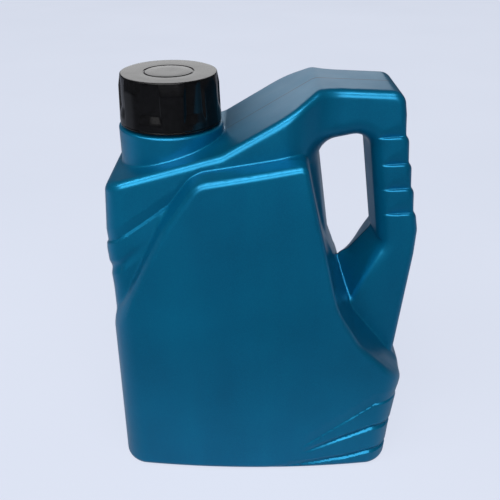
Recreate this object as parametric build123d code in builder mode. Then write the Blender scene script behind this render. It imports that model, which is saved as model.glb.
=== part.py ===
from build123d import *
from math import cos, radians, sin
import os

# A four litre oil jug: blown jug with a built-in handle, ribbed screw cap, tamper band and sealing wad.
# Origin: middle of the flat base. +X towards the handle, -Y to the front, +Z up. Millimetres.

# Jug, driving sizes
wall = 1.4
tank_left = -97.0
tank_right = 98.5
side_lean = 0.02
tank_half_depth = 54.0
tank_crown = 6.5
tank_side_crown = 2.5
tank_corner = 15.0
base_round = 7.0
panel_edge = 3.6
panel_stand = 1.5
shoulder_half_depth = 47.5
shoulder_corner = 13.0
shoulder_edge = 4.0
handle_half_depth = 27.5
ease_start = 10.0
ease_end = 54.0

# Ends of the outer side of the grip, as (x, z)
grip_top = (95.4, 254.5)
grip_foot = (108.6, 188.5)

# A length past every face of the jug, for cuts that go right through
past = 130.0
plan_top = 300.0
shoulder_bottom = 40.0

# Front outline of the shoulder and handle: each corner with its radius.
# The left end runs past the side wall, which the plan view gives.
form_outline = [
    ((-past, shoulder_bottom), 0.0),
    ((-past, 213.9), 0.0),
    ((-21.0, 245.0), 14.0),
    ((36.5, 279.8), 9.0),
    ((78.0, 279.3), 8.0),
    ((90.5, 271.5), 7.0),
    (grip_top, 20.0),
    (grip_foot, 20.0),
    ((110.6, 168.0), 14.0),
    ((103.8, 72.0), 20.0),
    ((101.0, shoulder_bottom), 0.0),
]

# Front outline of the tank with its raised label panel
panel_outline = [
    ((-past, 0.0), 0.0),
    ((-past, 48.0), 0.0),
    ((-67.5, 178.5), 60.0),
    ((-56.5, 200.5), 60.0),
    ((-35.5, 230.5), 16.0),
    ((29.5, 242.5), 5.0),
    ((43.5, 184.0), 120.0),
    ((53.0, 143.0), 60.0),
    ((71.0, 111.5), 40.0),
    ((past, 52.0), 0.0),
    ((past, 0.0), 0.0),
]

# Finger hole: outline where the halves meet, wider towards both faces
hole_outline = [
    ((40.2, 237.0), 10.0),
    ((71.5, 243.5), 8.0),
    ((80.6, 177.5), 4.0),
    ((65.6, 156.5), 5.0),
    ((53.2, 156.5), 4.0),
]
hole_draft = 7.0
hole_edge = 4.5

# Scoop from the bottom of the finger hole out to each face
scoop_mouth = [(55.5, 168.0), (84.0, 174.0), (67.5, 131.0)]
scoop_throat = [(58.0, 168.0), (77.5, 174.0), (64.5, 157.5)]
scoop_throat_depth = 3.0
scoop_proud = 2.0

# Grip: ledges on both faces, scallops on the outer side
ledge_start = 75.0
ledge_shift = 2.4
ledge_z = [243.5, 223.0, 204.5, 187.0]
ledge_height = 9.0
ledge_depth = 1.6
scallop_z = [250.4, 232.2, 214.0, 197.0]
scallop_above = 7.0
scallop_below = 10.5
scallop_depth = 1.5
cut_proud = 6.0

# Grooves round the upright corners: low on the handle side, high on the other side.
# Each runs from its far end on the face to its near end, turns the corner and fades on the side wall.
low_flutes = [((33.0, 22.0), (93.0, 68.5)), ((36.0, 17.0), (93.0, 46.0)), ((34.0, 7.5), (93.0, 22.0))]
low_flute_depth = 3.0
low_flute_width = 11.0
high_flutes = [((-66.0, 205.0), (-88.0, 189.0)), ((-68.0, 186.0), (-88.0, 169.5))]
high_flute_depth = 2.4
high_flute_width = 8.0
flute_turn_in = 4.0
flute_turn_back = 6.0
flute_side_back = 16.0
flute_fade = 22.0
flute_climb = (7.0, 13.0, 16.0)
flute_side_share = 0.7
flute_end_share = 0.15
flute_end_proud = 0.6

# Neck and collar
neck_x = -54.3
collar_root = 200.0
collar_top = 250.4
collar_margin = 1.1
collar_edge = 1.6
neck_radius = 27.2
neck_wall = 2.6
neck_height = 28.6
bead_stand = 2.4
bead_lift = 5.8
bead_height = 1.4
thread_pitch = 6.0
thread_height = 1.5
thread_root_width = 2.4
thread_tip_width = 1.2
thread_turns = 1.25
thread_lift = 14.1
thread_bite = 0.3

# Screw cap
cap_lift = 2.7
cap_roof = 2.2
cap_clearance = 2.0
cap_wall = 1.5
cap_lean = 0.6
skirt_clearance = 1.1
skirt_wall = 1.7
skirt_headroom = 1.4
cap_edge = 0.6
cap_ribs = 7
cap_rib_turn = 9.0
rib_stand = 0.8
rib_chamfer_height = 7.4
flute_foot_lift = 4.1
flute_ramp = 6.0
flute_floor_angle = 14.3
flute_mouth_angle = 34.4
flute_sink = 2.0
disc_radius = 15.8
disc_groove_width = 0.7
disc_groove_depth = 0.4
thread_play = 0.35

# Tamper band and sealing wad
band_inset = 0.2
band_flange = 1.0
band_split = 0.2
band_lip_wall = 1.5
band_bead_gap = 0.3
band_neck_gap = 0.3
wad_thickness = 1.4
wad_side_gap = 0.3

# Levels and radii that follow from these
rim_z = collar_top + neck_height
bead_bottom = collar_top + bead_lift
bead_radius = neck_radius + bead_stand
thread_start = collar_top + thread_lift
roof_under = rim_z + wad_thickness
cap_top = roof_under + cap_roof
cap_foot = collar_top + cap_lift
cap_bore = neck_radius + cap_clearance
skirt_bore = bead_radius + skirt_clearance
skirt_top = bead_bottom + bead_height + skirt_headroom
cap_floor_radius = cap_bore + cap_wall
cap_top_radius = cap_floor_radius - cap_lean
cap_rib_radius = cap_floor_radius + rib_stand
cap_foot_radius = skirt_bore + skirt_wall
collar_radius = cap_foot_radius + collar_margin
neck_axis = Axis((neck_x, 0, 0), (0, 0, 1))


def filled(corners, inset):
    """The closed outline through the corners, drawn in by the inset."""
    with BuildSketch(Plane.XZ) as shape:
        with BuildLine():
            FilletPolyline(*[p for p, r in corners], radius=[r for p, r in corners], close=True)
        make_face()
        if inset:
            offset(amount=-inset, kind=Kind.INTERSECTION)
    return shape.sketch


def shoulder_left(z):
    """Where the left wall of the shoulder stands at height z."""
    return tank_left + panel_stand + side_lean * z


def tank_face(x):
    """How far forward the crowned face of the tank stands at x."""
    middle = (tank_left + tank_right) / 2
    share = (x - middle) / (tank_right - middle)
    return tank_half_depth + tank_crown * (1 - share * share)


def upper_plan(z, inset):
    """Seen from above at height z: deep over the shoulder, easing to the thin handle."""
    deep = shoulder_half_depth - inset
    thin = handle_half_depth - inset
    left = shoulder_left(z) + inset
    middle = (ease_start + ease_end) / 2
    with BuildSketch(Plane.XY.offset(z)) as shape:
        with BuildLine():
            Polyline((ease_start, -deep), (left, -deep), (left, deep), (ease_start, deep))
            for side in (-1, 1):
                Bezier(
                    (ease_start, side * deep),
                    (middle, side * deep),
                    (middle, side * thin),
                    (ease_end, side * thin),
                )
            Polyline((ease_end, -thin), (past, -thin), (past, thin), (ease_end, thin))
        make_face()
        fillet(shape.vertices().group_by(Axis.X)[0], radius=shoulder_corner - inset)
    return shape.sketch


def tank_plan(z, inset):
    """Seen from above at height z: a rounded rectangle with crowned front, back and sides."""
    x0 = tank_left + side_lean * z + inset
    x1 = tank_right - inset
    y = tank_half_depth - inset
    middle = (x0 + x1) / 2
    with BuildSketch(Plane.XY.offset(z)) as shape:
        with BuildLine():
            for side in (-1, 1):
                ThreePointArc((x0, side * y), (middle, side * (y + tank_crown)), (x1, side * y))
            ThreePointArc((x0, -y), (x0 - tank_side_crown, 0), (x0, y))
            ThreePointArc((x1, -y), (x1 + tank_side_crown, 0), (x1, y))
        make_face()
        fillet(shape.vertices(), radius=tank_corner - inset)
    return shape.sketch


def sharp_edges(part, least=25):
    """The edges where two faces meet at an angle, leaving out the seams of smooth walls."""
    faces = part.faces()
    found = ShapeList()
    for edge in part.edges():
        middle = edge.position_at(0.5)
        normals = [f.normal_at(middle) for f in faces if edge in f.edges()]
        if len(normals) == 2 and normals[0].get_angle(normals[1]) > least:
            found.append(edge)
    return found


def upper_form(inset):
    """Shoulder and handle with the finger hole, all edges rounded."""
    with BuildPart() as form:
        extrude(filled(form_outline, inset), amount=past, both=True)
        with BuildPart(mode=Mode.INTERSECT):
            loft([upper_plan(0, inset), upper_plan(plan_top, inset)])
        bottom = shoulder_bottom + inset
        rim = sharp_edges(form.part).filter_by(lambda e: e.center().Z > bottom + wall)
        fillet(rim.filter_by(Axis.Y, reverse=True), radius=shoulder_edge - inset)
        before = form.part.edges()
        extrude(filled(hole_outline, -inset), amount=past / 2, both=True, taper=-hole_draft, mode=Mode.SUBTRACT)
        mouth = sharp_edges(form.part).filter_by(lambda e: e not in before and abs(e.center().Y) > inset + 1)
        fillet(mouth, radius=hole_edge + inset)
    return form.part


def tank_form(inset):
    """The tank with its raised label panel on both faces."""
    with BuildPart() as form:
        extrude(filled(panel_outline, inset), amount=past, both=True)
        with BuildPart(mode=Mode.INTERSECT):
            loft([tank_plan(0, inset), tank_plan(plan_top, inset)])
        edges = sharp_edges(form.part)
        fillet(edges.filter_by(lambda e: e.center().Z > 1 + inset), radius=panel_edge - inset)
        edges = sharp_edges(form.part)
        fillet(edges.filter_by(lambda e: e.center().Z < 1 + inset), radius=base_round - inset)
    return form.part


def scoop(side, inset):
    """The sloping hollow from the bottom of the finger hole out to one face."""
    sketches = []
    for corners, depth in ((scoop_mouth, handle_half_depth + scoop_proud), (scoop_throat, scoop_throat_depth)):
        with BuildSketch(Plane.XZ.offset(side * depth)) as section:
            with BuildLine():
                Polyline(*corners, close=True)
            make_face()
            if inset:
                offset(amount=inset, kind=Kind.INTERSECTION)
        sketches.append(section.sketch)
    with BuildPart() as tool:
        loft(sketches)
    return tool.part


def grip_x(z):
    """Where the outer side of the grip stands at height z."""
    share = (z - grip_top[1]) / (grip_foot[1] - grip_top[1])
    return grip_top[0] + share * (grip_foot[0] - grip_top[0])


def grip_cuts(inset):
    """Ledges pressed into both faces of the grip, and the scallops on its outer side."""
    face = handle_half_depth - inset
    with BuildPart() as cuts:
        for number, z in enumerate(ledge_z):
            for side in (-1, 1):
                with BuildSketch(Plane.YZ.offset(ledge_start + number * ledge_shift)):
                    with BuildLine():
                        Polyline(
                            (side * (face - ledge_depth), z),
                            (side * (face + cut_proud), z),
                            (side * (face + cut_proud), z + ledge_height),
                            (side * face, z + ledge_height),
                            close=True,
                        )
                    make_face()
                extrude(amount=past / 2)
        for z in scallop_z:
            with BuildSketch(Plane.XZ):
                with BuildLine():
                    Polyline(
                        (grip_x(z + scallop_above) - inset, z + scallop_above),
                        (grip_x(z) - scallop_depth - inset, z),
                        (grip_x(z - scallop_below) - inset, z - scallop_below),
                        (grip_x(z) + cut_proud, z),
                        close=True,
                    )
                make_face()
            extrude(amount=past / 2, both=True)
    return cuts.part


def flute(stations):
    """A groove cut along stations, each a point on the wall, its outward direction, depth and width."""
    sections = []
    for number, (point, out, depth, width) in enumerate(stations):
        after = stations[min(number + 1, len(stations) - 1)][0]
        before = stations[max(number - 1, 0)][0]
        along = (Vector(after) - Vector(before)).normalized()
        out = Vector(out)
        out = (out - along * out.dot(along)).normalized()
        with BuildSketch(Plane(origin=point, x_dir=out, z_dir=along)) as section:
            with BuildLine():
                Polyline((-depth, 0), (depth + 1, width), (depth + 1, -width), close=True)
            make_face()
        sections.append(section.sketch)
    with BuildPart() as tool:
        loft(sections, ruled=True)
    return tool.part


def corner_flute(far, near, side_x, far_y, near_y, depth, width, inset):
    """A groove from the front face round the upright corner to the side wall."""
    turn = 1 if near[0] > far[0] else -1
    slope = (near[1] - far[1]) / abs(near[0] - far[0])
    climbs = [near[1] + slope * climb for climb in flute_climb]
    half = width / 2
    shy = inset * cos(radians(45))
    turn_x = side_x - turn * (flute_turn_in + shy)
    turn_y = flute_turn_back - near_y + shy
    side_y = flute_side_back - near_y
    stations = [
        ((far[0], inset - far_y - flute_end_proud, far[1]), (0, -1, 0), flute_end_share, half * flute_end_share),
        ((near[0], inset - near_y, near[1]), (0, -1, 0), depth, half),
        ((turn_x, turn_y, climbs[0]), (turn, -1, 0), depth, half),
        ((side_x - turn * inset, side_y, climbs[1]), (turn, 0, 0), depth * flute_side_share, half),
        (
            (side_x + turn * (flute_end_proud - inset), side_y + flute_fade, climbs[2]),
            (turn, 0, 0),
            flute_end_share,
            half * flute_end_share,
        ),
    ]
    return flute(stations)


def flute_cuts(inset):
    """All the corner grooves of the front, mirrored to the back."""
    low_side = tank_right + tank_side_crown
    with BuildPart() as cuts:
        for far, near in low_flutes:
            faces = (tank_face(far[0]), tank_face(near[0]))
            add(corner_flute(far, near, low_side, *faces, low_flute_depth, low_flute_width, inset))
        for far, near in high_flutes:
            faces = (shoulder_half_depth, shoulder_half_depth)
            side = shoulder_left(near[1])
            add(corner_flute(far, near, side, *faces, high_flute_depth, high_flute_width, inset))
        mirror(about=Plane.XZ)
    return cuts.part


def envelope(inset):
    """The jug's form without its neck, drawn in by the inset on every side."""
    with BuildPart() as form:
        add(upper_form(inset))
        add(grip_cuts(inset), mode=Mode.SUBTRACT)
        add(scoop(1, inset), mode=Mode.SUBTRACT)
        add(scoop(-1, inset), mode=Mode.SUBTRACT)
        add(tank_form(inset))
        add(flute_cuts(inset), mode=Mode.SUBTRACT)
        with BuildSketch(Plane.XY.offset(collar_root)):
            with Locations((neck_x, 0)):
                Circle(collar_radius - inset)
        extrude(amount=collar_top - collar_root - inset)
    return form.part


def turned(corners):
    """A solid turned round the neck's axis from (radius, height) corners."""
    with BuildPart() as solid:
        with BuildSketch(Plane.XZ):
            with BuildLine():
                Polyline(*[(neck_x + r, z) for r, z in corners], close=True)
            make_face()
        revolve(axis=neck_axis)
    return solid.part


def ring(inner, outer, bottom, top):
    """A plain ring round the neck's axis."""
    return turned([(inner, bottom), (outer, bottom), (outer, top), (inner, top)])


def thread(radius, start, side):
    """One helical ridge: side 1 stands out from the radius, side -1 stands in from it."""
    with BuildPart() as ridge:
        with BuildLine() as path:
            Helix(thread_pitch, thread_pitch * thread_turns, radius, center=(neck_x, 0, start))
        with BuildSketch(Plane(origin=path.line @ 0, x_dir=(1, 0, 0), z_dir=path.line % 0)):
            with BuildLine():
                Polyline(
                    (-side * thread_bite, -thread_root_width / 2),
                    (side * thread_height, -thread_tip_width / 2),
                    (side * thread_height, thread_tip_width / 2),
                    (-side * thread_bite, thread_root_width / 2),
                    close=True,
                )
            make_face()
        sweep(path=path.line, is_frenet=True)
    return ridge.part


# The jug: outer form and neck, less the inner form and the bore
bore_radius = neck_radius - neck_wall
with BuildPart() as jug_body:
    add(envelope(0))
    rim = jug_body.edges().filter_by(lambda e: abs(e.center().Z - collar_top) < 0.01)
    fillet(rim, radius=collar_edge)
    add(ring(bore_radius, neck_radius, collar_top - wall, rim_z))
    add(ring(bore_radius, bead_radius, bead_bottom, bead_bottom + bead_height))
    add(thread(neck_radius, thread_start, 1))
    add(envelope(wall), mode=Mode.SUBTRACT)
    add(ring(0, bore_radius, collar_root, cap_top), mode=Mode.SUBTRACT)

# The cap's flutes, seen from above
flute_foot = cap_foot + flute_foot_lift
flute_inner = cap_floor_radius - flute_sink
flute_outer = cap_foot_radius + flute_sink
floor_half = radians(flute_floor_angle / 2)
mouth_half = radians(flute_mouth_angle / 2)
flute_plan = [
    (flute_inner * cos(floor_half), -flute_inner * sin(floor_half)),
    (flute_outer * cos(mouth_half), -flute_outer * sin(mouth_half)),
    (flute_outer * cos(mouth_half), flute_outer * sin(mouth_half)),
    (flute_inner * cos(floor_half), flute_inner * sin(floor_half)),
]

# The ribs: a turned ring with a flute cut between each two ribs
with BuildPart() as rib_ring:
    add(
        turned(
            [
                (cap_bore, cap_foot),
                (cap_foot_radius, cap_foot),
                (cap_rib_radius, cap_top - rib_chamfer_height),
                (cap_top_radius, cap_top),
                (cap_bore, cap_top),
            ]
        )
    )
    with BuildSketch(Plane.XY.offset(flute_foot)):
        with Locations((neck_x, 0)):
            with PolarLocations(0, cap_ribs, start_angle=cap_rib_turn - 90 + 180 / cap_ribs):
                Polygon(*flute_plan, align=None)
    extrude(amount=cap_top - flute_foot, mode=Mode.SUBTRACT)

# The cap: ribs on a turned core, hollow inside, with its own thread just below the neck's
thread_drop = (thread_root_width + thread_tip_width) / 2 + thread_play
with BuildPart() as screw_cap:
    add(rib_ring.part)
    add(
        turned(
            [
                (0, cap_foot),
                (cap_foot_radius, cap_foot),
                (cap_foot_radius - band_inset, flute_foot),
                (cap_floor_radius, flute_foot + flute_ramp),
                (cap_top_radius, cap_top),
                (0, cap_top),
            ]
        )
    )
    fillet(screw_cap.faces().sort_by(Axis.Z)[-1].outer_wire().edges(), radius=cap_edge)
    add(ring(0, cap_bore, cap_foot, roof_under), mode=Mode.SUBTRACT)
    add(ring(0, skirt_bore, cap_foot, skirt_top), mode=Mode.SUBTRACT)
    groove = ring(disc_radius - disc_groove_width, disc_radius, cap_top - disc_groove_depth, cap_top)
    add(groove, mode=Mode.SUBTRACT)
    add(thread(cap_bore, thread_start - thread_drop, -1))

# The tamper band: a flange under the cap's foot and a lip that catches below the neck's bead
band_top = cap_foot - band_split
band_bore = neck_radius + band_neck_gap
with BuildPart() as tamper_band:
    add(ring(band_bore, cap_foot_radius - band_inset, band_top - band_flange, band_top))
    add(ring(band_bore, band_bore + band_lip_wall, band_top - band_flange, bead_bottom - band_bead_gap))

# The wad: a disc between the neck's rim and the cap's roof
with BuildPart() as cap_liner:
    add(ring(0, cap_bore - wad_side_gap, rim_z, roof_under))

os.makedirs("parts", exist_ok=True)
jug_body.part.label = "jug_body"
export_step(jug_body.part, "parts/jug_body.step")
screw_cap.part.label = "screw_cap"
export_step(screw_cap.part, "parts/screw_cap.step")
tamper_band.part.label = "tamper_band"
export_step(tamper_band.part, "parts/tamper_band.step")
cap_liner.part.label = "cap_liner"
export_step(cap_liner.part, "parts/cap_liner.step")
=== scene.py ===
# %% [markdown]
# # A four to five litre motor oil jug
# The real jug is one blow-moulded piece of pearly blue plastic: a tank with a raised
# panel on each face, a sloping shoulder, a round collar under the neck, and a hollow
# handle with a finger hole. A black ribbed cap with a tamper band closes it.
# The model comes in first as a fixed frame. Every piece made here sits in the
# same metres and moves with one of the frame's bodies.

# %% Load the frame
from math import cos, pi, radians, sin, tan

import bpy
import numpy as np
import openvdb as vdb
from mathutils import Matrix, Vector


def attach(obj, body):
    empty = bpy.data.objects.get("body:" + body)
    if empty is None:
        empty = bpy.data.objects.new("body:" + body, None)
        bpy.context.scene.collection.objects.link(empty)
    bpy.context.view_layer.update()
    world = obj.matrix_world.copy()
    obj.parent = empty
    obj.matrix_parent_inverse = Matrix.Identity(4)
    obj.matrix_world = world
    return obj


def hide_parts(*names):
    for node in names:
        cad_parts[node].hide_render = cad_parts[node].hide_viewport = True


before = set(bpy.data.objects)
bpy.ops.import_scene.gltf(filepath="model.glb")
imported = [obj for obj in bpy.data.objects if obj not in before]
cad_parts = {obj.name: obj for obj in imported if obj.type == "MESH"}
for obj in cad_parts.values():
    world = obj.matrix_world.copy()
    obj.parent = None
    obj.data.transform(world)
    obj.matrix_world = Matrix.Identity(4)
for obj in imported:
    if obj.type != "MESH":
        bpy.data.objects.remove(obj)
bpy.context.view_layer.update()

# %% [markdown]
# ## The camera
# The jug was seen from in front and a little above, square on, so its upright edges
# lean together only by perspective. The lens and the place come from the real height
# of the jug and from where its foot, collar and handle stand in the picture.

# %% Place the camera
tilt = 60.9  # degrees up from looking straight down
sight = bpy.data.cameras.new("sight")
sight.lens = 47.1
sight.sensor_width = 36.0
sight.clip_start = 0.01
camera = bpy.data.objects.new("camera", sight)
camera.location = (-0.0037, -0.409, 0.383)
camera.rotation_euler = (radians(tilt), 0.0, 0.0)
bpy.context.scene.collection.objects.link(camera)
bpy.context.scene.camera = camera
print("lens", sight.lens, "mm, looking down", round(90 - tilt, 1), "degrees")

# %% [markdown]
# ## How the skin is described
# A blown jug has no sharp edge anywhere: every face rolls into the next. Such a form
# could be a cage with subdivision, but its many crossing folds would need a cage that
# fits all of them at once. Here it is a *distance field* instead: one number for each
# point of space, below zero inside the plastic and above zero outside. Each wall of
# the jug is a simple distance, and joining two walls with a rounding radius is one
# line of arithmetic. The skin is where the number is zero.
# The working unit of the field is the millimetre.

# %% Rounded outlines
def rounded_outline(corners):
    """Straight runs and corner arcs of a closed outline of ((x, z), radius) corners."""
    points = [np.array(c[0], float) for c in corners]
    count = len(points)
    nexts = points[1:] + points[:1]
    turn = np.sign(sum(p[0] * q[1] - q[0] * p[1] for p, q in zip(points, nexts)))
    starts, ends, arcs = [], [], []
    for i, (p, (_, r)) in enumerate(zip(points, corners)):
        u = points[i - 1] - p
        v = points[(i + 1) % count] - p
        u, v = u / np.hypot(*u), v / np.hypot(*v)
        half = np.arccos(np.clip(u @ v, -1, 1)) / 2
        bulge = np.sign(u[1] * v[0] - u[0] * v[1]) * turn
        starts.append(p + u * r / tan(half))
        ends.append(p + v * r / tan(half))
        if r:
            middle = p + (u + v) / np.hypot(*(u + v)) * r / sin(half)
            arcs.append((middle, r, starts[-1] - middle, ends[-1] - middle, bulge))
    runs = [(ends[i], starts[(i + 1) % count]) for i in range(count)]
    return turn, runs, arcs


def outline_distance(x, z, outline):
    """Distance to a rounded outline, below zero inside it."""
    turn, runs, arcs = outline
    near = np.full(np.broadcast(x, z).shape, 1e9)
    signed = near.copy()
    for a, b in runs:
        way = b - a
        length = np.hypot(*way)
        way = way / length
        along = np.clip((x - a[0]) * way[0] + (z - a[1]) * way[1], 0, length)
        d = np.hypot(x - a[0] - along * way[0], z - a[1] - along * way[1])
        side = turn * ((x - a[0]) * way[1] - (z - a[1]) * way[0])
        signed = np.where(d < near, np.where(side < 0, -d, d), signed)
        near = np.minimum(near, d)
    for middle, r, first, last, bulge in arcs:
        dx, dz = x - middle[0], z - middle[1]
        spin = turn * bulge
        after_first = spin * (first[0] * dz - first[1] * dx) >= 0
        before_last = spin * (dx * last[1] - dz * last[0]) >= 0
        d = np.hypot(dx, dz) - r
        closer = after_first & before_last & (np.abs(d) < near)
        signed = np.where(closer, bulge * d, signed)
        near = np.where(closer, np.abs(d), near)
    return signed


square = rounded_outline([((0, 0), 1), ((10, 0), 1), ((10, 10), 1), ((0, 10), 1)])
probe = outline_distance(np.array([5.0, 12.0]), np.array([5.0, 5.0]), square)
print("distance test, -5 and 2:", probe)


# %% Rounded joints between walls
def both(a, b, r):
    """Inside a and inside b, their common edge rounded by r."""
    return np.minimum(-r, np.maximum(a, b)) + np.hypot(np.maximum(a + r, 0), np.maximum(b + r, 0))


def either(a, b, r):
    """Inside a or inside b, the inner corner between them filled by r."""
    return -both(-a, -b, r)


def less(a, cut, r):
    """Inside a but not inside cut, the rim of the cut rounded by r."""
    return both(a, -cut, r)


# %% [markdown]
# ## Shoulder and handle
# Seen from the front, the shoulder and handle have one outline. Seen from above, the
# shoulder is deep and eases to the thin handle in a long S. The field takes the larger
# of the two distances and rolls the edge between them by about 5 mm, which is the
# bright highlight along the top of the real jug.

# %% The jug's measures
tank_left, left_lean = -96.8, 0.012
tank_right = [(0.0, 97.9), (30.0, 99.2), (80.0, 103.8)]
tank_half_depth, tank_corner, base_round = 54.0, 15.0, 5.5
tank_crown, tank_side_crown = 6.5, 2.5  # how far the faces and the sides bulge
panel_edge, panel_stand = 3.6, 1.5
shoulder_left = [(150.0, -95.0), (178.0, -96.6), (212.0, -94.2), (250.0, -91.5)]
shoulder_half_depth, shoulder_corner, shoulder_edge = 47.5, 13.0, 5.2
handle_half_depth, ease_start, ease_end = 27.5, 10.0, 54.0
grip_top, grip_foot = (92.2, 257.5), (107.2, 184.0)

form_outline = rounded_outline([
    ((-130.0, 40.0), 0.0), ((-130.0, 213.9), 0.0), ((-21.0, 244.4), 14.0), ((36.5, 278.6), 9.0),
    ((88.8, 276.4), 9.0), (grip_top, 20.0), (grip_foot, 20.0),
    ((106.9, 166.0), 14.0), ((100.0, 72.0), 20.0), ((97.7, 40.0), 0.0),
])
panel_outline = rounded_outline([
    ((-130.0, -40.0), 0.0), ((-130.0, 48.0), 0.0), ((-67.5, 178.5), 60.0), ((-56.5, 200.5), 60.0),
    ((-35.5, 230.5), 16.0), ((29.5, 242.5), 5.0), ((43.5, 184.0), 120.0), ((53.0, 143.0), 60.0),
    ((71.0, 111.5), 40.0), ((130.0, 52.0), 0.0), ((130.0, -40.0), 0.0),
])
hole_outline = rounded_outline([
    ((40.2, 241.7), 10.0), ((68.8, 247.6), 8.0), ((79.9, 175.0), 6.0), ((65.6, 156.5), 5.0),
    ((53.2, 156.5), 4.0),
])

# %% The depth of shoulder and handle
ease_t = np.linspace(0, 1, 2001)
ease_mid = (ease_start + ease_end) / 2
ease_x = (
    ease_start * (1 - ease_t) ** 3 + 3 * ease_mid * ease_t * (1 - ease_t) + ease_end * ease_t**3
)
ease_share = 3 * ease_t**2 - 2 * ease_t**3
ease_y = shoulder_half_depth - (shoulder_half_depth - handle_half_depth) * ease_share
ease_slope = np.gradient(ease_y, ease_x)


def upper_face(x, depth):
    """Distance in front of the front (or behind the back) face of shoulder and handle."""
    slope = np.interp(x, ease_x, ease_slope, 0, 0)
    return (depth - np.interp(x, ease_x, ease_y)) / np.sqrt(1 + slope**2)


print("half depth at x 0, 32, 60:", np.interp([0, 32, 60], ease_x, ease_y).round(1))

# %% [markdown]
# ## The grip
# Four ledges are pressed into each face of the grip so that the fingers don't slip.
# Above each ledge the face sinks along a slanted facet, which is widest at the outer
# side. The outer side itself stands out at each ledge and sinks above it.

# %% Ledges and the stepped outer side
ledges = [(75.3, 247.9), (77.6, 230.1), (79.9, 213.2), (82.2, 195.9)]
ledge_reach, ledge_climb = 22.0, 0.06  # mm until a facet is full; rise per mm outwards
ledge_depth, ledge_round = 2.3, 1.1
grip_side = 80.0  # the outer side's steps lie beyond this x
step_depth = 1.4
level = np.arange(170.0, 275.0, 0.1)
notch = np.zeros_like(level)
for _, z in ledges:
    notch = np.maximum(notch, np.interp(level, [z - 1.5, z + 1.0, z + 14.0], [0, step_depth, 0]))
blur = np.exp(-0.5 * (np.arange(-30, 31) / 7.0) ** 2)
notch = np.convolve(notch, blur / blur.sum(), "same")


def ledge_cut(x, depth, z, start, foot):
    """The wedge pressed into the face above one ledge."""
    reach = np.clip((x - start) / ledge_reach, 0, 1.2)
    height = 3.0 + 8.0 * reach
    foot = foot + ledge_climb * (x - start)
    facet = handle_half_depth - ledge_depth * (1 - (z - foot) / height)
    wedge = both((facet - depth) * 0.95, foot - z, 0.3)
    return both(wedge, start - x, 0.8)


print("ledges", len(ledges), "and the outer side sinks by", notch.max().round(2), "mm")

# %% [markdown]
# ## Grooves round the corners
# Low on the handle side and high on the other side, grooves start flat on the face,
# deepen towards the upright corner, turn round it and fade on the side wall. The wall
# is upright there, so it can be unrolled like a label: a point's place *along* the
# wall and its height say how deep the groove is.

# %% Unroll a corner
def unroll(x, depth, side_x, face_depth, r):
    """Length along the wall from the face round a corner: x on the face, more on the side."""
    cx, cy = side_x - r, face_depth - r
    ax, ay = x - cx, depth - cy
    angle = np.arctan2(np.maximum(ax, 0), np.maximum(ay, 1e-6))
    turned = cx + r * angle
    return np.where(ax <= 0, x + 0 * depth, np.where(ay <= 0, cx + r * pi / 2 - ay, turned))


def groove(u, z, line, sinks, above, below):
    """Depth of a groove along a line of (u, z) points, with its own wall above and below."""
    us, zs = zip(*line)
    v = z - np.interp(u, us, zs)
    sink = np.interp(u, us, sinks)
    return sink * np.clip(np.minimum(1 - v / above, 1 + v / below), 0, 1)


def soft_groove(u, z, line, sinks, half):
    """A broad rounded hollow along a line of (u, z) points."""
    us, zs = zip(*line)
    v = np.clip((z - np.interp(u, us, zs)) / half, -1, 1)
    return np.interp(u, us, sinks) * (0.5 + 0.5 * np.cos(pi * v))


low_grooves = [
    ([(33, 22), (41, 28), (85, 61), (100, 62), (112, 60), (131, 58)],
     [0, 0.7, 0.9, 0.9, 0.7, 0], 10.0, 1.5),
    ([(34, 17), (42, 20), (62, 28.8), (85, 37.8), (100, 37), (112, 35), (131, 33)],
     [0, 0.9, 1.4, 1.8, 1.7, 1.0, 0], 4.0, 1.8),
    ([(8, 2), (34, 5.6), (67, 10.2), (85, 14.6), (100, 13.9), (112, 12.9), (131, 11.5)],
     [0, 0.9, 1.5, 1.8, 1.7, 1.0, 0], 4.0, 1.8),
]
fold_groove = (
    [(23, 234.8), (31, 231.6), (37.2, 226.4), (46.7, 217.8), (59.6, 208.4),
     (72.7, 198.7), (88, 188), (99, 184), (110, 181), (124, 178)],
    [0, 0.35, 0.8, 1.2, 1.4, 1.6, 1.6, 1.1, 0.5, 0], 8.0, 1.7,
)
high_groove = ([(66, 188), (88, 168.5), (99, 164.5), (110, 161.5), (124, 159)], [0, 2.0, 1.2, 0.5, 0], 6.0)
unroll_left, unroll_right = 96.0, 102.0  # where the side walls stand for unrolling
print("grooves:", len(low_grooves), "low, one fold line and one soft groove high up")

# %% [markdown]
# ## The whole field
# The pieces above come together here: shoulder and handle, less the finger hole, the
# scoop under it and the ledges; the tank with its panel edge and its rounded foot;
# the collar; and the little folds that the light finds on the shoulder.

# %% Shoulder and handle as a field
scoop_mouth = [(52.5, 172.0), (84.3, 173.8), (67.6, 129.2), (65.8, 130.2)]
scoop_throat = [(52.0, 172.0), (80.0, 177.3), (57.5, 151.0), (54.5, 152.0)]
scoop_leans = (0.97, 1.0, 0.85, 0.74)  # each wall's slant, as a factor on its distance
scoop_mouth_depth, scoop_edge = 29.5, 2.6
hole_draft, hole_edge = radians(7.0), 11.0


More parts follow.
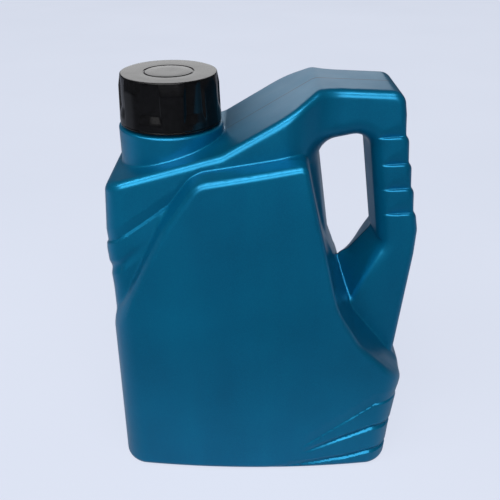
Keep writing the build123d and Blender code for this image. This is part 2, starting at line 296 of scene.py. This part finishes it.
def scoop_cut(x, depth, z):
    """The hollow that runs from the foot of the finger hole down and out to the face."""
    share = depth / scoop_mouth_depth
    walls = []
    for i, lean in enumerate(scoop_leans):
        (ax, az), (bx, bz) = scoop_mouth[i - 1], scoop_mouth[i]
        (cx, cz), (dx, dz) = scoop_throat[i - 1], scoop_throat[i]
        px, pz = cx + (ax - cx) * share, cz + (az - cz) * share
        qx, qz = dx + (bx - dx) * share, dz + (bz - dz) * share
        length = np.hypot(qx - px, qz - pz)
        walls.append(((qx - px) * (z - pz) - (qz - pz) * (x - px)) / length * lean)
    return both(both(walls[2], walls[3], 1.2), both(walls[0], walls[1], 0.5), 0.8)


def upper_field(x, depth, z):
    """Shoulder and handle."""
    face = upper_face(x, depth)
    plan = both(face, np.interp(z, *zip(*shoulder_left)) - x, shoulder_corner)
    outline = outline_distance(x, z, form_outline)
    outline = outline + np.interp(z, level, notch) * (x > grip_side)
    form = both(plan, outline, shoulder_edge)
    hole = (outline_distance(x, z, hole_outline) - depth * tan(hole_draft)) * cos(hole_draft)
    form = less(form, hole, hole_edge)
    form = less(form, scoop_cut(x, depth, z), scoop_edge)
    for start, foot in ledges:
        form = less(form, ledge_cut(x, depth, z, start, foot), ledge_round)
    u = unroll(-x, depth, unroll_left, shoulder_half_depth, shoulder_corner)
    return form + groove(u, z, *fold_groove) + soft_groove(u, z, *high_groove)


# %% [markdown]
# ## The step under the handle
# The panel doesn't end in an upright edge under the handle: a sloping step joins it to
# the handle's thinner face. Two curves give it, one where it leaves the panel and one
# where it reaches the handle, and a straight slope runs from one to the other.

# %% The sloping step under the handle
skirt_front = [(99.0, 63.0), (86.0, 85.0), (70.0, 110.0), (58.5, 128.0),
               (51.2, 149.0), (45.6, 171.0), (40.6, 192.0)]
skirt_back = [(104.0, 80.0), (87.4, 100.6), (70.0, 121.5), (64.6, 131.5),
              (58.6, 150.0), (50.6, 171.0), (41.0, 192.0)]
skirt_front_depth, skirt_back_depth = 53.0, 26.0
skirt_drop = skirt_front_depth - skirt_back_depth
skirt_left, skirt_top = 30.0, 200.0  # the step lies right of and below these
skirt_level = np.arange(40.0, 230.0, 0.25)


def eased(points, spread):
    """A curve through (x, z) points as x at each level, its corners eased."""
    xs, zs = np.array(points).T
    x = np.interp(skirt_level, zs, xs)
    low, high = skirt_level < zs[0], skirt_level > zs[-1]
    x[low] = xs[0] + (zs[0] - skirt_level[low]) * 0.8
    x[high] = xs[-1] - (skirt_level[high] - zs[-1]) * 0.3
    weight = np.exp(-0.5 * (np.arange(-80, 81) * 0.25 / spread) ** 2)
    return np.convolve(np.pad(x, 80, "edge"), weight / weight.sum(), "valid")


skirt_lines = [eased(skirt_front, 4.0), eased(skirt_back, 4.0)]
skirt_slopes = [np.gradient(line, skirt_level) for line in skirt_lines]


def skirt_distance(x, depth, z):
    """Distance to the step that slopes from the panel's edge up to the handle's face."""
    share = np.clip((skirt_front_depth - depth) / skirt_drop, 0, 1)
    front, back = (np.interp(z, skirt_level, line) for line in skirt_lines)
    slope = np.interp(z, skirt_level, skirt_slopes[0])
    run = (back - front) / skirt_drop
    return (x - front - share * (back - front)) / np.sqrt(1 + slope**2 + run**2)


print("the step is up to", (skirt_lines[1] - skirt_lines[0]).max().round(1), "mm wide")

# %% Tank as a field
panel_draft = [(-60, 0.45), (-36, 0.36), (20, 0.27), (34, 0.05)]  # (x, slant of the edge)


def tank_field(x, depth, z):
    """The tank with its raised panels."""
    x0, x1 = tank_left + left_lean * z, np.interp(z, *zip(*tank_right))
    middle, half = (x0 + x1) / 2, (x1 - x0) / 2
    bend = (half**2 + tank_crown**2) / (2 * tank_crown)
    front = np.hypot(x - middle, depth + bend - tank_half_depth - tank_crown) - bend
    turn = (tank_half_depth**2 + tank_side_crown**2) / (2 * tank_side_crown)
    left = np.hypot(x - (x0 - tank_side_crown + turn), depth) - turn
    right = np.hypot(x - (x1 + tank_side_crown - turn), depth) - turn
    plan = both(both(front, left, tank_corner), right, tank_corner)
    face = tank_half_depth + tank_crown * (1 - ((x - middle) / half) ** 2)
    draft = np.interp(x, *zip(*panel_draft))
    rise = np.clip(face - panel_stand - depth, 0, 9)
    outline = (outline_distance(x, z, panel_outline) - draft * rise) / np.sqrt(1 + draft**2)
    skirt = both(skirt_distance(x, depth, z), skirt_left - x, 1.0)
    outline = np.where(z < skirt_top, either(outline, skirt, 2.0), outline)
    form = both(plan, outline, panel_edge)
    form = both(form, -z, base_round)
    u = unroll(x, depth, unroll_right, tank_half_depth + 1.0, tank_corner)
    for line, sinks, above, below in low_grooves:
        form = form + groove(u, z, line, sinks, above, below)
    return form


# %% [markdown]
# ## The fold above the panel's corner
# Between the fold line on the shoulder and the foot of the panel's edge the face swells
# a little. The swelling is nothing at the fold and fullest at the panel.

# %% The fold under the shoulder
fold_rise = 1.8
fold_top = [(-80, 195.0), (-72.7, 198.7), (-59.6, 208.4), (-46.7, 217.8),
            (-37.2, 226.4), (-31, 231.6), (-23, 234.8)]
fold_foot = [(-80, 152.0), (-70, 172.2), (-62.3, 190.4), (-59.7, 200.9),
             (-53, 209.8), (-42, 222.5), (-31, 228.4), (-23, 231.8)]
fold_fade = [(-80, 0), (-68, 0.75), (-60, 1), (-46, 0.8), (-32, 0)]


def shoulder_fold(x, z):
    """How far the shoulder's face rises between its fold and the foot of the panel's edge."""
    top, foot = np.interp(x, *zip(*fold_top)), np.interp(x, *zip(*fold_foot))
    share = np.clip((top - z) / np.maximum(top - foot, 3.0), 0, 1)
    return fold_rise * share * np.interp(x, *zip(*fold_fade))


# %% Everything together
neck_x, collar_top, collar_radius, collar_edge = -54.3, 250.4, 33.5, 1.6
neck_radius, bore_radius = 27.2, 24.6
collar_foot, well_foot = 205.0, 215.0  # hidden in the shoulder; how deep the bore shows


def jug_field(x, y, z):
    """Below zero inside the jug, above zero outside. Millimetres."""
    depth = np.sqrt(y * y + 1e-4)
    upper = upper_field(x, depth, z) - shoulder_fold(x, z)
    form = either(upper, tank_field(x, depth, z), 1.0)
    out = np.hypot(x - neck_x, y)
    collar = both(both(out - collar_radius, z - collar_top, collar_edge), collar_foot - z, 1.0)
    form = either(form, collar, 1.2)
    well = both(out - bore_radius, well_foot - z, 3.0)
    return less(form, well, 0.5)


probe = jug_field(np.array([0.0, 0.0]), np.array([0.0, -80.0]), np.array([100.0, 100.0]))
print("field at the middle of the tank and beside it:", probe.round(2))

# %% [markdown]
# ## From field to skin
# OpenVDB, which comes with Blender, lays a net of quads on the zero level of a grid of
# these numbers. The net is then drawn tight: each point slides along the field's own
# slope until it sits exactly on the skin. Where two neighbours face different ways, or
# the middle of the edge between them misses the skin, the edge is split. So the tight
# folds get small triangles and the flat panel keeps large ones. The field's slope also
# gives the true shading normal of each point.

# %% A first net
def first_net(field, low, high, step):
    """Points and triangles on the zero level of a field in a box."""
    axes = [np.arange(a, b + step, step) for a, b in zip(low, high)]
    x = axes[0][:, None, None]
    y = axes[1][None, :, None]
    z = axes[2][None, None, :]
    grid = vdb.FloatGrid(background=3.0)
    grid.copyFromArray(np.clip(field(x, y, z) / step, -3, 3).astype(np.float32))
    points, triangles, quads = grid.convertToPolygons(isovalue=0.0, adaptivity=0.0)
    points = points * step + np.array(low)
    halves = [quads[:, [0, 1, 2]], quads[:, [0, 2, 3]]]
    faces = np.vstack([triangles.reshape(-1, 3), *halves]).astype(np.int64)
    a, b, c = (points[faces[:, i]] for i in range(3))
    if np.einsum("ij,ij->i", np.cross(b - a, c - a), a + b + c).sum() < 0:
        faces = faces[:, ::-1]
    return points.astype(float), faces


# %% Draw the net tight
def slope(field, p, h=0.04):
    """The field's slope at points p."""
    g = np.empty_like(p)
    for i in range(3):
        step = np.zeros(3)
        step[i] = h
        g[:, i] = (field(*(p + step).T) - field(*(p - step).T)) / (2 * h)
    return g


def draw_tight(field, p, rounds=3):
    """Slides points onto the zero level, and returns them with their normals."""
    for _ in range(rounds):
        g = slope(field, p)
        move = field(*p.T)[:, None] * g / np.maximum((g * g).sum(1), 0.05)[:, None]
        size = np.sqrt((move * move).sum(1))[:, None]
        p = p - move * np.minimum(1, 1.0 / np.maximum(size, 1e-9))
    g = slope(field, p)
    return p, g / np.maximum(np.sqrt((g * g).sum(1)), 1e-9)[:, None]


# %% Split where it bends
allowed_miss = 0.08  # mm that the middle of an edge may stand off the skin


def split_folds(field, p, n, faces, angle, least):
    """Splits edges longer than least that bend over angle or miss the skin in their middle."""
    ends = np.sort(np.vstack([faces[:, [0, 1]], faces[:, [1, 2]], faces[:, [2, 0]]]), axis=1)
    edges, place = np.unique(ends, axis=0, return_inverse=True)
    place = place.reshape(3, -1).T
    a, b = edges.T
    bent = (n[a] * n[b]).sum(1) < cos(radians(angle))
    missed = np.abs(field(*((p[a] + p[b]) / 2).T)) > allowed_miss
    long = np.sqrt(((p[a] - p[b]) ** 2).sum(1)) > least
    chosen = (bent | missed) & long
    new, new_n = draw_tight(field, (p[a] + p[b])[chosen] / 2, 2)
    number = np.full(len(edges), -1)
    number[chosen] = len(p) + np.arange(chosen.sum())
    m = number[place]
    made = []
    split = (m >= 0).sum(1)
    made.append(faces[split == 0])
    for k in range(3):
        f, g = np.roll(faces, -k, axis=1), np.roll(m, -k, axis=1)
        one = (split == 1) & (g[:, 0] >= 0)
        made.append(np.c_[f[one, 0], g[one, 0], f[one, 2]])
        made.append(np.c_[g[one, 0], f[one, 1], f[one, 2]])
        two = (split == 2) & (g[:, 2] < 0)
        made.append(np.c_[g[two, 0], f[two, 1], g[two, 1]])
        made.append(np.c_[f[two, 0], g[two, 0], g[two, 1]])
        made.append(np.c_[f[two, 0], g[two, 1], f[two, 2]])
    f, g = faces[split == 3], m[split == 3]
    made += [np.c_[f[:, 0], g[:, 0], g[:, 2]], np.c_[g[:, 0], f[:, 1], g[:, 1]]]
    made += [np.c_[g[:, 2], g[:, 1], f[:, 2]], g]
    return np.vstack([p, new]), np.vstack([n, new_n]), np.vstack(made)


# %% Make the jug's skin
net_step = 2.2
points, faces = first_net(jug_field, (-104, -66, -4), (116, 66, 286), net_step)
points, normals = draw_tight(jug_field, points, 4)
print("first net", len(points), "points", len(faces), "triangles")
for angle, least in ((11, 1.2), (14, 0.7)):
    points, normals, faces = split_folds(jug_field, points, normals, faces, angle, least)
    print("split where it bends over", angle, "degrees:", len(faces), "triangles")
print("left off the zero level:", np.abs(jug_field(*points.T)).max().round(3), "mm at most")


# %% Turn numbers into a mesh
def make_piece(name, points, faces, normals=None):
    """A Blender object from points in millimetres."""
    mesh = bpy.data.meshes.new(name)
    mesh.from_pydata((points * 0.001).tolist(), [], faces.tolist())
    mesh.update()
    mesh.polygons.foreach_set("use_smooth", np.ones(len(mesh.polygons), bool))
    if normals is not None:
        mesh.normals_split_custom_set_from_vertices(normals.tolist())
    piece = bpy.data.objects.new(name, mesh)
    bpy.context.scene.collection.objects.link(piece)
    return piece


# %% [markdown]
# ## The neck
# Above the collar stands a turned neck with a bead, which the tamper band catches
# under, and one thread of a little more than a turn. A turned form is quickest as a
# profile spun round an axis, and the thread as a small section swept up a helix.

# %% Spin a profile
def spin(profile, turns=180):
    """Points and quads of a (radius, height) profile spun round the neck's axis."""
    angles = np.linspace(0, 2 * pi, turns, endpoint=False)
    r, z = np.array(profile, float).T
    points = np.stack([
        neck_x + r[:, None] * np.cos(angles), r[:, None] * np.sin(angles),
        np.broadcast_to(z[:, None], (len(r), turns)),
    ], axis=-1).reshape(-1, 3)
    k = np.arange(turns)
    faces = []
    for i in range(len(r) - 1):
        a, b = i * turns, (i + 1) * turns
        faces.append(np.c_[a + k, a + (k + 1) % turns, b + (k + 1) % turns, b + k])
    return points, np.vstack(faces)


def rounded_profile(corners, steps=5):
    """A (radius, height) profile whose corners (radius, height, rounding) are rolled."""
    pts = [np.array(c[:2], float) for c in corners]
    out = [pts[0]]
    for i in range(1, len(pts) - 1):
        r = corners[i][2]
        u, v = pts[i - 1] - pts[i], pts[i + 1] - pts[i]
        u, v = u / np.hypot(*u), v / np.hypot(*v)
        half = np.arccos(np.clip(u @ v, -1, 1)) / 2
        middle = pts[i] + (u + v) / max(np.hypot(*(u + v)), 1e-9) * r / sin(half)
        first, last = pts[i] + u * r / tan(half) - middle, pts[i] + v * r / tan(half) - middle
        for s in np.linspace(0, 1, steps):
            way = first * (1 - s) + last * s
            out.append(middle + way / np.hypot(*way) * r)
    out.append(pts[-1])
    return [tuple(p) for p in out]


# %% Sweep a thread
def thread_ridge(radius, start, side, turns=1.25, pitch=6.0, height=1.5, steps=150):
    """One helical ridge that rises out of a wall and sinks back into it at both ends."""
    section = np.array([
        (-0.4, -1.35), (height * 0.8, -0.75), (height, -0.45),
        (height, 0.45), (height * 0.8, 0.75), (-0.4, 1.35),
    ])
    s = np.linspace(0, 1, steps)
    rise = np.clip(np.minimum(s, 1 - s) * turns * 12, 0, 1) ** 0.5
    angle = 2 * pi * turns * s
    r = radius + side * (section[None, :, 0] * rise[:, None] - 0.3 * (1 - rise[:, None]))
    z = start + pitch * turns * s[:, None] + section[None, :, 1] * (0.3 + 0.7 * rise[:, None])
    pts = np.stack([neck_x + r * np.cos(angle)[:, None], r * np.sin(angle)[:, None], z], axis=-1)
    n = len(section)
    i, j = np.meshgrid(np.arange(steps - 1) * n, np.arange(n - 1), indexing="ij")
    quads = np.stack([i + j, i + j + n, i + j + n + 1, i + j + 1], axis=-1).reshape(-1, 4)
    return pts.reshape(-1, 3), quads if side > 0 else quads[:, ::-1]


# %% Join the neck to the skin
bead_bottom, bead_radius, rim_z = 256.2, 29.6, 279.0
neck_profile = rounded_profile([
    (neck_radius, collar_top - 0.6, 0), (neck_radius, bead_bottom, 0.5), (bead_radius, bead_bottom, 0.4),
    (bead_radius, bead_bottom + 1.4, 0.4), (neck_radius, bead_bottom + 1.9, 0.4),
    (neck_radius, rim_z, 0.6), (bore_radius, rim_z, 0.6), (bore_radius, collar_top - 0.6, 0),
])
neck_points, neck_faces = spin(neck_profile)
ridge_points, ridge_faces = thread_ridge(neck_radius, 264.5, 1)
skin = make_piece("jug_skin", points, faces, normals)
neck = make_piece("jug_neck", np.vstack([neck_points, ridge_points]),
                  np.vstack([neck_faces, ridge_faces + len(neck_points)]))
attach(skin, "jug")
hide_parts("jug_body")
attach(neck, "jug")
print("neck", len(neck.data.polygons), "faces; skin", len(skin.data.polygons))

# %% [markdown]
# ## The cap
# The cap is turned, with seven broad ribs for a firm grip. Its radius is a function of
# the angle and the height: the core's radius in a flute, the rib's radius on a rib, and
# a slanted flank between. A flute ends above the plain foot on a small ramp. The top has
# a rolled edge and a fine ring round a shallow disc, where the cap was moulded.

# %% The cap's outer wall
cap_foot, cap_top = 253.1, 282.6
flute_foot, ribs = 257.2, 7
first_rib = radians(9.0)  # from the front
core_line = [(253.1, 32.4), (257.2, 32.2), (263.2, 30.7), (282.6, 30.1)]
rib_line = [(253.1, 32.4), (275.2, 31.5), (282.6, 30.1)]


def soft_min(a, b, r):
    """The lesser of two radii, rolled over r where they cross."""
    return np.minimum(a, b) - np.maximum(r - np.abs(a - b), 0) ** 2 / (4 * r)


def cap_radius(angle, z):
    """Outer radius of the cap at an angle from the front and a height."""
    pitch = 2 * pi / ribs
    off = np.abs((angle - first_rib + pi / ribs + pitch / 2) % pitch - pitch / 2)
    core = np.interp(z, *zip(*core_line))
    rib = np.interp(z, *zip(*rib_line))
    a, b = radians(14.3) / 2, radians(34.4) / 2
    p = np.array([28.7 * cos(a), 28.7 * sin(a)])
    q = np.array([34.4 * cos(b), 34.4 * sin(b)])
    way = q - p
    cross = p[0] * way[1] - p[1] * way[0]
    flank = cross / np.maximum(np.cos(off) * way[1] - np.sin(off) * way[0], 1e-3)
    flank = np.where(off < a, 0, np.clip(flank, 0, 60))
    flute = -soft_min(-core, -flank, 0.5)
    return soft_min(rib, flute, 0.35)


per_rib = 44
angles = np.linspace(0, 2 * pi, ribs * per_rib, endpoint=False)
edge_start = 282.0  # where the rolled top edge begins
heights = np.r_[
    cap_foot + 0.3, np.linspace(254.0, flute_foot, 4),
    np.linspace(257.7, 264.0, 14), np.linspace(265.0, edge_start, 18),
]
rings = []
wall = cap_radius(angles[None, :], heights[:, None])
for radius, height in zip(wall, heights):
    rings.append((radius, np.full_like(radius, height)))
on_rib, in_flute = cap_radius(np.array([first_rib, first_rib + pi / ribs]), 270.0)
print("rib stands", (on_rib - in_flute).round(2), "mm over the flute")

# %% The cap's top and inside
edge = cap_radius(angles, np.array([edge_start]))
for s in np.linspace(0, pi / 2, 6)[1:]:
    rings.append((edge - 0.6 * (1 - cos(s)), np.full_like(edge, edge_start + 0.6 * sin(s))))
disc = [(28.0, cap_top), (22.0, cap_top), (16.4, cap_top), (16.0, 282.58), (15.8, 282.45),
        (15.65, 282.25), (15.45, 282.19), (15.25, 282.25), (15.1, 282.45), (14.9, 282.55),
        (14.5, cap_top), (8.0, 282.55), (0.05, 282.52)]
for radius, height in disc:
    rings.append((np.full_like(angles, radius), np.full_like(angles, height)))
inside = [(32.1, cap_foot), (31.1, cap_foot), (30.75, cap_foot + 0.25),
          (30.7, cap_foot + 0.6), (30.7, 258.9), (29.5, 259.0), (29.2, 259.3),
          (29.2, 280.1), (29.0, 280.4), (0.05, 280.4)]
under = [(np.full_like(angles, r), np.full_like(angles, z)) for r, z in inside]


def ring_mesh(rings):
    """Points and quads of rings of (radii, heights), angle 0 at the front."""
    points = []
    for r, z in rings:
        points.append(np.stack([neck_x + r * np.sin(angles), -r * np.cos(angles), z], axis=-1))
    n, count = len(angles), len(rings)
    k = np.arange(n)
    ahead = (k + 1) % n
    faces = [
        np.c_[i * n + k, i * n + ahead, (i + 1) * n + ahead, (i + 1) * n + k]
        for i in range(count - 1)
    ]
    return np.vstack(points), np.vstack(faces)


cap_points, cap_faces = ring_mesh(under[::-1] + rings)
inner_ridge, inner_faces = thread_ridge(29.2, 262.35, -1)
cap = make_piece("cap_shell", np.vstack([cap_points, inner_ridge]),
                 np.vstack([cap_faces, inner_faces + len(cap_points)]))
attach(cap, "cap")
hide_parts("screw_cap")
print("cap", len(cap.data.polygons), "faces")

# %% [markdown]
# ## The tamper band
# A thin flange just under the cap's foot, with a lip that catches below the neck's
# bead. It is a closed turned profile with its edges just broken, so that it shows as
# a fine bright line under the cap.

# %% Spin the band
band_profile = [
    (27.6, 251.9), (32.05, 251.9), (32.2, 252.05), (32.2, 252.75), (32.05, 252.9), (29.1, 252.9),
    (29.0, 253.0), (29.0, 255.75), (28.85, 255.9), (27.65, 255.9), (27.5, 255.75),
    (27.5, 252.0), (27.6, 251.9),
]
band = make_piece("band_ring", *spin(band_profile, 160))
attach(band, "jug")
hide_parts("tamper_band")
print("band", len(band.data.polygons), "faces")


# %% [markdown]
# ## Shading help
# Turned pieces keep crisp edges where their profile turns sharply, and stay smooth
# round the axis. Blender's own corner test by angle does that.

# %% Smooth by angle
def keep_edges(piece, angle=38):
    """Smooth shading that stays crisp over edges sharper than the angle."""
    mesh = piece.data
    mesh.set_sharp_from_angle(angle=radians(angle))
    mesh.update()


for piece in (neck, cap, band):
    keep_edges(piece)
print("crisp edges kept on neck, cap and band")

# %% [markdown]
# ## Pearly blue plastic
# The jug's polyethylene carries fine metallic flakes under a satin surface. Faces turned
# to the light glow teal, the steps that look away fall to navy, and every edge seen
# at a low angle turns pale. A metallic base with a thin satin coat does this in one
# shader. Noise at three sizes gives the cloudiness of the blown wall, the flakes, and
# the fine orange-peel of the mould. A thin darker line marks where the mould parted.

# %% Small node helpers
def new_material(name):
    """An empty node material with a Principled shader, and shortcuts to its tree."""
    material = bpy.data.materials.new(name)
    material.use_nodes = True
    tree = material.node_tree
    shader = tree.nodes["Principled BSDF"]
    return material, tree, shader


def set_sockets(node, values):
    """Sets several inputs of a node by name."""
    for socket, value in values.items():
        node.inputs[socket].default_value = value


def noise(tree, where, scale, detail=3.0, rough=0.5, stretch=(1, 1, 1)):
    """A noise texture in the piece's own metres."""
    mapping = tree.nodes.new("ShaderNodeMapping")
    mapping.inputs["Scale"].default_value = stretch
    tree.links.new(where, mapping.inputs["Vector"])
    node = tree.nodes.new("ShaderNodeTexNoise")
    set_sockets(node, {"Scale": scale, "Detail": detail, "Roughness": rough})
    tree.links.new(mapping.outputs["Vector"], node.inputs["Vector"])
    return node.outputs["Fac"]


def ramp(tree, value, stops):
    """A colour ramp of (place, colour) stops."""
    node = tree.nodes.new("ShaderNodeValToRGB")
    tree.links.new(value, node.inputs["Fac"])
    elements = node.color_ramp.elements
    while len(elements) < len(stops):
        elements.new(0.5)
    for element, (place, colour) in zip(elements, stops):
        element.position = place
        element.color = (colour,) * 3 + (1.0,) if isinstance(colour, float) else (*colour, 1.0)
    return node.outputs["Color"]


def blend_colours(tree, share, first, second):
    """Mixes two colours; share is a socket or a number."""
    node = tree.nodes.new("ShaderNodeMix")
    node.data_type = "RGBA"
    factor, colour_a, colour_b = node.inputs[0], node.inputs[6], node.inputs[7]
    for socket, value in ((factor, share), (colour_a, first), (colour_b, second)):
        if isinstance(value, (int, float, tuple)):
            socket.default_value = value
        else:
            tree.links.new(value, socket)
    return node.outputs[2]


def bump(tree, height, strength, distance, under=None):
    """A bump from a height, on top of another bump if given."""
    node = tree.nodes.new("ShaderNodeBump")
    set_sockets(node, {"Strength": strength, "Distance": distance})
    tree.links.new(height, node.inputs["Height"])
    if under is not None:
        tree.links.new(under, node.inputs["Normal"])
    return node.outputs["Normal"]


# %% The parting line
seam_core, seam_end, seam_strength = 0.0004, 0.0008, 0.75  # metres, metres, share


def seam_share(tree, where):
    """Full on the line where the two halves of the mould met, zero elsewhere."""
    axes = tree.nodes.new("ShaderNodeSeparateXYZ")
    tree.links.new(where, axes.inputs[0])
    off = tree.nodes.new("ShaderNodeMath")
    off.operation = "ABSOLUTE"
    tree.links.new(axes.outputs["Y"], off.inputs[0])
    line = tree.nodes.new("ShaderNodeMapRange")
    line.interpolation_type = "SMOOTHSTEP"
    tree.links.new(off.outputs[0], line.inputs["Value"])
    set_sockets(line, {"From Min": seam_core, "From Max": seam_end,
                       "To Min": seam_strength, "To Max": 0.0})
    return line.outputs["Result"]


# %% The jug's plastic
def pearl_plastic(name):
    """Pearly blue, with clouds, streaks and flakes in its colour."""
    material, tree, shader = new_material(name)
    where = tree.nodes.new("ShaderNodeTexCoord").outputs["Object"]
    clouds = noise(tree, where, 14.0, 3.0, 0.45)
    streaks = noise(tree, where, 60.0, 2.0, 0.5, (1.0, 1.0, 0.12))
    flakes = noise(tree, where, 1400.0, 1.0, 0.6)
    body = ramp(tree, clouds, [(0.30, (0.0, 0.120, 0.238)), (0.72, (0.0, 0.158, 0.302))])
    pale = ramp(tree, streaks, [(0.35, (0.0, 0.085, 0.18)), (0.7, (0.0, 0.20, 0.34))])
    body = blend_colours(tree, 0.10, body, pale)
    glint = ramp(tree, flakes, [(0.42, (0.0, 0.07, 0.17)), (0.66, (0.004, 0.22, 0.38))])
    body = blend_colours(tree, 0.10, body, glint)
    seam = seam_share(tree, where)
    body = blend_colours(tree, seam, body, (0.0, 0.010, 0.030, 1.0))
    tree.links.new(body, shader.inputs["Base Color"])
    satin = ramp(tree, noise(tree, where, 38.0, 3.0, 0.5), [(0.3, 0.32), (0.75, 0.38)])
    tree.links.new(satin, shader.inputs["Roughness"])
    set_sockets(shader, {"Metallic": 0.70, "Specular IOR Level": 0.2,
                         "Coat Weight": 0.15, "Coat Roughness": 0.26})
    peel = bump(tree, noise(tree, where, 420.0, 2.0, 0.5), 0.06, 0.0004)
    waves = bump(tree, noise(tree, where, 24.0, 1.0, 0.4), 0.10, 0.0010, peel)
    tree.links.new(waves, shader.inputs["Normal"])
    return material


blue = pearl_plastic("pearl_blue_plastic")
for piece in (skin, neck):
    piece.data.materials.append(blue)
print("jug plastic on", skin.name, "and", neck.name)

# %% [markdown]
# ## Glossy black plastic
# The cap is hard black polypropylene. Its gloss varies a little from place to place, and
# a fine unevenness of the surface breaks up the reflections.

# %% The cap's plastic
def black_plastic(name):
    """Glossy black whose tone and gloss vary a little."""
    material, tree, shader = new_material(name)
    where = tree.nodes.new("ShaderNodeTexCoord").outputs["Object"]
    dust = noise(tree, where, 300.0, 4.0, 0.6)
    tone = ramp(tree, dust, [(0.35, (0.002, 0.002, 0.0022)), (0.75, (0.004, 0.004, 0.0045))])
    tree.links.new(tone, shader.inputs["Base Color"])
    gloss = ramp(tree, noise(tree, where, 120.0, 3.0, 0.5), [(0.3, 0.10), (0.75, 0.17)])
    tree.links.new(gloss, shader.inputs["Roughness"])
    set_sockets(shader, {"Specular IOR Level": 0.22})
    peel = bump(tree, noise(tree, where, 500.0, 2.0, 0.5), 0.05, 0.0003)
    tree.links.new(peel, shader.inputs["Normal"])
    return material


black = black_plastic("black_cap_plastic")
for piece in (cap, band):
    piece.data.materials.append(black)
print("cap plastic on", cap.name, "and", band.name)

# %% [markdown]
# ## The sealing wad
# A disc of white foamed liner between the neck's rim and the roof of the cap. It shows
# only from inside, so the solid from model.glb stays and gets a fine-celled foam finish.

# %% The wad's foam
def foam(name):
    """White foam with fine cells."""
    material, tree, shader = new_material(name)
    where = tree.nodes.new("ShaderNodeTexCoord").outputs["Object"]
    cells = noise(tree, where, 2200.0, 2.0, 0.6)
    white = ramp(tree, cells, [(0.3, (0.62, 0.62, 0.60)), (0.7, (0.80, 0.80, 0.78))])
    tree.links.new(white, shader.inputs["Base Color"])
    tree.links.new(ramp(tree, cells, [(0.3, 0.75), (0.7, 0.9)]), shader.inputs["Roughness"])
    tree.links.new(bump(tree, cells, 0.3, 0.0002), shader.inputs["Normal"])
    return material


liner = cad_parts["cap_liner"]
liner.data.materials.clear()
liner.data.materials.append(foam("liner_foam"))
print("wad finished as foam")

# %% [markdown]
# ## Floor and light
# A pale lavender sheet runs under and far behind the jug. It glows evenly for the
# camera alone, so the background stays flat, and reflections see it dimmed, most of
# all in front of the jug, so the steps that look down stay dark. One long lamp above
# and to the left gives the bright line along the shoulder, a broad one in front lights
# the faces, a low one behind lightens the tops, and a dim world fills the rest.

# %% Floor
floor_glow = 0.91  # how much of the sheet's colour is glow, for the camera
floor_mesh = bpy.data.meshes.new("floor")
floor_mesh.from_pydata([(-5, -3, 0), (5, -3, 0), (5, 7, 0), (-5, 7, 0)], [], [(0, 1, 2, 3)])
floor = bpy.data.objects.new("floor", floor_mesh)
bpy.context.scene.collection.objects.link(floor)
print("floor sheet", floor.name, "laid")

# %% The sheet's material
paper, paper_tree, paper_shader = new_material("floor_paper")
where = paper_tree.nodes.new("ShaderNodeTexCoord").outputs["Object"]
grain = noise(paper_tree, where, 3.0, 2.0, 0.5)
tint = ramp(paper_tree, grain, [(0.3, (0.708, 0.755, 0.878)), (0.7, (0.723, 0.770, 0.893))])
path = paper_tree.nodes.new("ShaderNodeLightPath")
axes = paper_tree.nodes.new("ShaderNodeSeparateXYZ")
paper_tree.links.new(where, axes.inputs[0])
front = paper_tree.nodes.new("ShaderNodeMapRange")
paper_tree.links.new(axes.outputs["Y"], front.inputs["Value"])
set_sockets(front, {"From Min": 0.02, "From Max": -0.22, "To Min": 0.4, "To Max": 0.92})
mirrored = paper_tree.nodes.new("ShaderNodeMath")
mirrored.operation = "MULTIPLY"
paper_tree.links.new(path.outputs["Is Glossy Ray"], mirrored.inputs[0])
paper_tree.links.new(front.outputs["Result"], mirrored.inputs[1])
dim = blend_colours(paper_tree, mirrored.outputs[0], tint, (0.02, 0.025, 0.035, 1.0))
paper_tree.links.new(dim, paper_shader.inputs["Base Color"])
paper_shader.inputs["Roughness"].default_value = 0.9
glow = paper_tree.nodes.new("ShaderNodeEmission")
paper_tree.links.new(tint, glow.inputs["Color"])
share = paper_tree.nodes.new("ShaderNodeMath")
share.operation = "MULTIPLY"
share.inputs[1].default_value = floor_glow
paper_tree.links.new(path.outputs["Is Camera Ray"], share.inputs[0])
mix = paper_tree.nodes.new("ShaderNodeMixShader")
paper_tree.links.new(share.outputs[0], mix.inputs[0])
paper_tree.links.new(paper_shader.outputs[0], mix.inputs[1])
paper_tree.links.new(glow.outputs[0], mix.inputs[2])
paper_tree.links.new(mix.outputs[0], paper_tree.nodes["Material Output"].inputs["Surface"])
floor_mesh.materials.append(paper)
print("sheet glows by", floor_glow, "for the camera")


# %% Lamps
def soft_lamp(name, place, aim, size, power):
    """An oblong soft lamp aimed at a point."""
    light = bpy.data.lights.new(name, "AREA")
    light.shape = "RECTANGLE"
    light.size, light.size_y = size
    light.energy = power
    lamp = bpy.data.objects.new(name, light)
    lamp.location = place
    lamp.rotation_euler = (Vector(aim) - Vector(place)).to_track_quat("-Z", "Y").to_euler()
    bpy.context.scene.collection.objects.link(lamp)
    return lamp


soft_lamp("lamp_top", (-0.45, -0.45, 1.25), (-0.45, 0.0, 0.2), (1.9, 0.3), 15.0)
soft_lamp("lamp_front", (-0.2, -1.6, 1.05), (0.0, 0.0, 0.15), (2.4, 1.0), 36.0)
soft_lamp("lamp_back", (0.0, 2.0, 0.75), (0.0, 0.0, 0.28), (1.2, 0.5), 2.6)
print("three lamps placed")

# %% World
world = bpy.data.worlds.new("studio")
bpy.context.scene.world = world
world.use_nodes = True
sky = world.node_tree.nodes["Background"]
set_sockets(sky, {"Color": (0.80, 0.84, 0.95, 1.0), "Strength": 0.12})
view = bpy.context.scene.view_settings
view.view_transform = "Standard"
print("world strength", round(sky.inputs["Strength"].default_value, 2))
